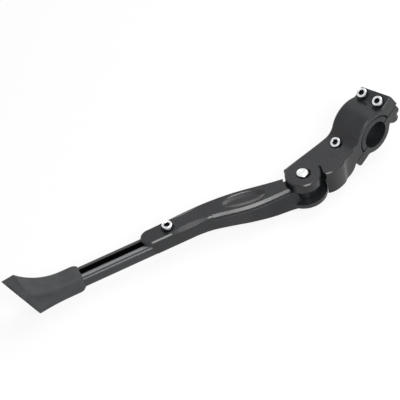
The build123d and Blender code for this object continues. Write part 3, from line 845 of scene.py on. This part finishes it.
@dataclass
class RubberFoot(Assembly):
    """Foot rod and the moulded boot on its end, in millimetres from the pivot."""

    start: float = 183.0
    bend: float = 196.0
    rim: float = 228.5
    sole: float = 230.0
    overrun: float = 1.1
    side: float = 9.9
    half: float = 8.4
    top: float = -5.7
    bottom: float = -23.1
    rise: float = 14.2
    flare: float = 3.0
    slant: float = 19.3
    corner: float = 4.2
    corner_steps: int = 6
    lip: float = 1.4
    heel: float = 2.2
    lip_run: float = 5.0
    lip_parts: tuple[float, ...] = (0.0, 0.04, 0.12, 0.3, 0.6, 1.0)
    lip_power: float = 2.5
    waist: float = 3.4
    waist_power: float = 0.6
    waist_lean: float = 1.6
    toe_fall: float = 0.16
    skew: float = 4.0
    flank_cuts: int = 7
    rod_half: float = 5.7
    rod_top: float = -8.4
    rod_bottom: float = -20.4
    socket: float = 214.3
    rib: float = 1.5
    rib_pitch: float = 2.6
    rib_depth: float = 1.0
    arc_steps: int = 14
    weld: float = 1e-4
    facing: float = 0.999

    def swell(self, distance: float, gain: float) -> float:
        """Height of a wall's arc, which starts level at the bend.

        Args:
            distance: Distance from the pivot.
            gain: What the arc has gained at the rim.

        Returns:
            What it has gained so far.
        """
        span = self.rim - self.bend
        run = min(max(distance - self.bend, 0.0), span)
        radius = (span ** 2 + gain ** 2) / (2 * gain)
        return radius - math.sqrt(radius ** 2 - run ** 2)

    def stations(self) -> list[tuple[float, float]]:
        """List each section's distance from the pivot, and what is left there of the lip.

        Returns:
            One pair for each section, from the collar to past the sole.
        """
        rows = [(self.start + self.lip_run * part, (1 - part) ** self.lip_power)
                for part in self.lip_parts]
        step = (self.rim - self.bend) / self.arc_steps
        rows += [(self.bend + step * i, 0.0) for i in range(self.arc_steps + 1)]
        return rows + [(self.sole, 0.0), (self.sole * self.overrun, 0.0)]

    def shaped(self, base: Vector, distance: float, rounding: float) -> Vector:
        """Move a point of the plain section to where it lies at a distance from the pivot.

        Args:
            base: The point on the plain section, measured from the section's middle.
            distance: Distance from the pivot.
            rounding: What is left of the collar's rounding, from one to zero.

        Returns:
            The point in millimetres from the pivot.
        """
        tall = self.top - self.bottom
        up = min(max((base.z + tall / 2 - self.corner) / (tall - 2 * self.corner), 0.0), 1.0)
        hollow = (self.waist * self.swell(distance, 1.0) ** self.waist_power
                  * math.sin(math.pi * up ** self.waist_lean))
        shrink = self.lip * rounding
        across = math.copysign(1.0, base.y) * (self.swell(distance, self.flare) - hollow)
        fall = self.toe_fall * max(distance - self.rim, 0.0)
        lift = up * (self.swell(distance, self.rise) - fall)
        inset = Vector((0, base.y / self.half * shrink, base.z / tall * 2 * shrink))
        if base.z < 0:
            inset.z *= self.heel / self.lip
        centre = Vector((-distance, self.side, (self.top + self.bottom) / 2))
        run = min(max((distance - self.bend) / (self.rim - self.bend), 0.0), 1.0)
        lean = self.skew * run * (self.half - base.y) / (2 * self.half)
        return centre + base - inset + Vector((lean, across, lift))

    def sleeve(self, bm: bmesh.types.BMesh) -> bmesh.types.BMFace:
        """Extrude a round-cornered section from the collar to past the sole.

        Args:
            bm: The bmesh that gets the sleeve.

        Returns:
            The face that closes the collar.
        """
        tall = self.top - self.bottom
        bmesh.ops.create_grid(bm, x_segments=1, y_segments=1, size=0.5)
        lay = Matrix(((0, 0, 1, 0), (self.half * 2, 0, 0, 0), (0, tall, 0, 0), (0, 0, 0, 1)))
        bmesh.ops.transform(bm, matrix=lay, verts=bm.verts)
        bmesh.ops.bevel(bm, geom=list(bm.verts), offset=self.corner, offset_type="OFFSET",
                        segments=self.corner_steps, profile=0.5, affect="VERTICES", material=-1)
        flanks = [e for e in bm.edges
                  if abs(e.verts[0].co.z - e.verts[1].co.z) > self.corner]
        bmesh.ops.bisect_edges(bm, edges=flanks, cuts=self.flank_cuts)
        base = bm.verts.layers.float_vector.new("base")
        for vert in bm.verts:
            vert[base] = vert.co
        bm.faces.ensure_lookup_table()
        collar = face = bm.faces[0]
        for number, row in enumerate(self.stations()):
            if number:
                grown = bmesh.ops.extrude_face_region(bm, geom=[face])["geom"]
                if face is not collar:
                    bmesh.ops.delete(bm, geom=[face], context="FACES_ONLY")
                face = next(g for g in grown if isinstance(g, bmesh.types.BMFace))
            for vert in face.verts:
                vert.co = self.shaped(Vector(vert[base]), *row)
        bm.verts.layers.float_vector.remove(base)
        return collar

    def hollow(self, bm: bmesh.types.BMesh, collar: bmesh.types.BMFace) -> None:
        """Sink the socket of the rod into the collar.

        Args:
            bm: The boot's bmesh.
            collar: The face that closes the collar.
        """
        near, far = self.side - self.rod_half, self.side + self.rod_half
        inner = []
        for depth in (self.start, self.socket):
            grown = bmesh.ops.extrude_face_region(bm, geom=[collar])["geom"]
            bmesh.ops.delete(bm, geom=[collar], context="FACES_ONLY")
            collar = next(g for g in grown if isinstance(g, bmesh.types.BMFace))
            for vert in collar.verts:
                vert.co.x = -depth
                vert.co.y = min(max(vert.co.y, near), far)
                vert.co.z = min(max(vert.co.z, self.rod_bottom), self.rod_top)
            inner += list(collar.verts)
        bmesh.ops.remove_doubles(bm, verts=inner, dist=self.weld)

    def sole_faces(self, bm: bmesh.types.BMesh, outward: Vector) -> list[bmesh.types.BMFace]:
        """The faces that look out of the sole."""
        return [f for f in bm.faces if f.normal.dot(outward.normalized()) > self.facing]

    def cut_sole(self, bm: bmesh.types.BMesh) -> None:
        """Cut the boot along its slanted sole and raise the ribs that grip the ground.

        Args:
            bm: The boot's bmesh.
        """
        slope = math.tan(math.radians(self.slant))
        outward, across = Vector((-1, -slope, -slope)), Vector((-slope, 0, 1))
        reach = self.rib_depth * outward.length
        toe = self.top + self.rise
        middle = Vector((-self.sole + reach, self.side, (toe + self.bottom) / 2))
        bmesh.ops.bisect_plane(bm, geom=list(bm.verts) + list(bm.edges) + list(bm.faces),
                               dist=self.weld, plane_co=middle, plane_no=outward,
                               clear_outer=True)
        bmesh.ops.holes_fill(bm, edges=[e for e in bm.edges if e.is_boundary])
        bmesh.ops.recalc_face_normals(bm, faces=bm.faces)
        count = int((toe - self.bottom) / self.rib_pitch)
        starts = [(number - count / 2) * self.rib_pitch for number in range(count + 1)]
        for place in [cut for start in starts for cut in (start, start + self.rib)]:
            faces = self.sole_faces(bm, outward)
            parts = dict.fromkeys(part for f in faces for part in (f, *f.edges, *f.verts))
            bmesh.ops.bisect_plane(bm, geom=list(parts), dist=self.weld, plane_no=across,
                                   plane_co=middle + across.normalized() * place)
        for face in self.sole_faces(bm, outward):
            along = (face.calc_center_median() - middle).dot(across.normalized()) - starts[0]
            if along % self.rib_pitch < self.rib:
                grown = bmesh.ops.extrude_face_region(bm, geom=[face])["geom"]
                bmesh.ops.delete(bm, geom=[face], context="FACES_ONLY")
                ends = [g for g in grown if isinstance(g, bmesh.types.BMVert)]
                bmesh.ops.translate(bm, vec=(-reach, 0, 0), verts=ends)

    def boot(self) -> bpy.types.Object:
        """Model the boot: rounded collar, hollow flanks, ribbed sole and the rod's socket.

        Returns:
            The new piece.
        """
        bm = bmesh.new()
        collar = self.sleeve(bm)
        self.hollow(bm, collar)
        self.cut_sole(bm)
        bmesh.ops.transform(bm, matrix=LAYOUT.knuckle() @ Matrix.Scale(MM, 4), verts=bm.verts)
        return put(bm, "rubber_boot", self.finishes["foot"], Body.ROD, ["foot"])

    def build(self) -> None:
        """Make the boot and dress the rod."""
        self.boot()
        paint("foot_rod", self.finishes["anodised"])


@dataclass(frozen=True)
class SoftBox:
    """A soft lamp: its place, width and height in metres, and its power in watts."""

    name: str
    spot: tuple[float, float, float]
    size: tuple[float, float]
    watts: float


@dataclass
class Studio:
    """White sweep, soft lamps and the camera of the photograph."""

    azimuth: float = -14.59
    elevation: float = 45.13
    roll: float = -13.8
    distance_mm: float = 900.0
    focal_px: float = 1188.0
    pivot_px: tuple[float, float] = (302.4, 173.0)
    frame_px: float = 400.0
    sensor_mm: float = 36.0
    fill: float = 0.25
    paper: str = "#f6f6f6"
    glow_share: float = 0.85
    floor_half: float = 4.0
    floor_gap: float = 0.0005
    aim: tuple[float, float, float] = (-0.12, 0.0, 0.0)
    lamps: tuple[SoftBox, ...] = (
        SoftBox("overhead_soft_box", (0.3, 0.15, 0.85), (0.7, 0.5), 5.0),
        SoftBox("camera_soft_box", (-0.08, -0.66, 0.62), (0.5, 0.25), 6.5),
        SoftBox("rear_soft_box", (-0.02, 0.85, 0.34), (0.5, 0.3), 1.0))

    def camera(self) -> None:
        """Place the camera so that the fold pivot falls on its pixel of the photograph."""
        a, e, r = (math.radians(x) for x in (self.azimuth, self.elevation, self.roll))
        forward = Vector((-math.sin(a) * math.cos(e), math.cos(a) * math.cos(e), -math.sin(e)))
        level = Vector((math.cos(a), math.sin(a), 0))
        upright = level.cross(forward)
        right = math.cos(r) * level + math.sin(r) * upright
        up = -math.sin(r) * level + math.cos(r) * upright
        middle = self.frame_px / 2
        scale = self.distance_mm / self.focal_px
        seen = Vector(((self.pivot_px[0] - middle) * scale, -(self.pivot_px[1] - middle) * scale,
                       self.distance_mm))
        spot = LAYOUT.pivot() - (right * seen.x + up * seen.y + forward * seen.z) * MM
        data = bpy.data.cameras.new("photo_camera")
        data.sensor_width = self.sensor_mm
        data.lens = self.focal_px / self.frame_px * self.sensor_mm
        camera = bpy.data.objects.new("photo_camera", data)
        turn = Matrix((right, up, -forward)).transposed().to_4x4()
        camera.matrix_world = Matrix.Translation(spot) @ turn
        bpy.context.scene.collection.objects.link(camera)
        bpy.context.scene.camera = camera

    def lamp(self, box: SoftBox) -> None:
        """Add a soft box that faces the middle of the stand.

        Args:
            box: The soft box.
        """
        data = bpy.data.lights.new(box.name, "AREA")
        data.shape, data.energy = "RECTANGLE", box.watts
        data.size, data.size_y = box.size
        lamp = bpy.data.objects.new(box.name, data)
        aim = Vector(self.aim) - Vector(box.spot)
        turn = aim.to_track_quat("-Z", "Y").to_matrix().to_4x4()
        lamp.matrix_world = Matrix.Translation(box.spot) @ turn
        bpy.context.scene.collection.objects.link(lamp)

    def seen_white(self, tree: bpy.types.NodeTree) -> bpy.types.NodeSocket:
        """Tell the rays that see the white background from those that carry its light.

        Args:
            tree: The node tree of the surround or the floor.

        Returns:
            One where a camera, glossy or transmission ray arrives, zero elsewhere.
        """
        path = add_node(tree, "LightPath").outputs
        both = add_node(tree, "Math", {"operation": "MAXIMUM"}, in_0=path["Is Camera Ray"],
                        in_1=path["Is Glossy Ray"]).outputs["Value"]
        return add_node(tree, "Math", {"operation": "MAXIMUM"}, in_0=both,
                        in_1=path["Is Transmission Ray"]).outputs["Value"]

    def world(self) -> None:
        """Set up a white surround that lights the stand softly."""
        world = bpy.data.worlds.new("white_surround")
        bpy.context.scene.world = world
        world.use_nodes = True
        tree = world.node_tree
        shade = tree.nodes["Background"]
        shade.inputs["Color"].default_value = WHITE
        level = add_node(tree, "MapRange", {"To Min": self.fill, "To Max": 1.0},
                         value=self.seen_white(tree))
        tree.links.new(level.outputs["Result"], shade.inputs["Strength"])

    def sweep(self) -> bpy.types.Material:
        """Make the floor's paper, which glows white for the rays that see it.

        Returns:
            The new material.
        """
        material = bpy.data.materials.new("white_paper_sweep")
        material.use_nodes = True
        tree = material.node_tree
        tree.nodes.remove(tree.nodes["Principled BSDF"])
        paper = add_node(tree, "BsdfDiffuse", {"Color": hex_linear(self.paper)})
        glow = add_node(tree, "Emission", {"Color": WHITE, "Strength": 1.0})
        share = add_node(tree, "Math", {"operation": "MULTIPLY", 1: self.glow_share},
                         in_0=self.seen_white(tree))
        mix = add_node(tree, "MixShader", in_0=share.outputs["Value"], in_1=paper.outputs["BSDF"],
                       in_2=glow.outputs["Emission"])
        tree.links.new(mix.outputs["Shader"], tree.nodes["Material Output"].inputs["Surface"])
        return material

    def floor(self) -> None:
        """Lay a wide pale floor just under the stand that keeps its soft shadow."""
        bm = bmesh.new()
        bmesh.ops.create_grid(bm, x_segments=1, y_segments=1, size=self.floor_half)
        bmesh.ops.translate(bm, vec=(0, 0, CAD_BOX[0][2] - self.floor_gap), verts=bm.verts)
        mesh = bpy.data.meshes.new("floor")
        bm.to_mesh(mesh)
        bm.free()
        floor = bpy.data.objects.new("floor", mesh)
        bpy.context.scene.collection.objects.link(floor)
        mesh.materials.append(self.sweep())

    def build(self) -> None:
        """Set up the floor, surround, lamps and camera."""
        bpy.context.scene.view_settings.view_transform = "Standard"
        self.camera()
        self.world()
        self.floor()
        for box in self.lamps:
            self.lamp(box)


def main() -> None:
    """Build the studio and every sub-assembly in order, and report each piece."""
    logging.basicConfig(level=logging.INFO, format="%(name)s %(message)s")
    Studio().build()
    finishes = {key: finish.build() for key, finish in FINISHES.items()}
    for assembly in (TubeClamp, FoldPivot, Leg, Latch, RubberFoot):
        assembly(finishes).build()


if __name__ == "__main__":
    main()
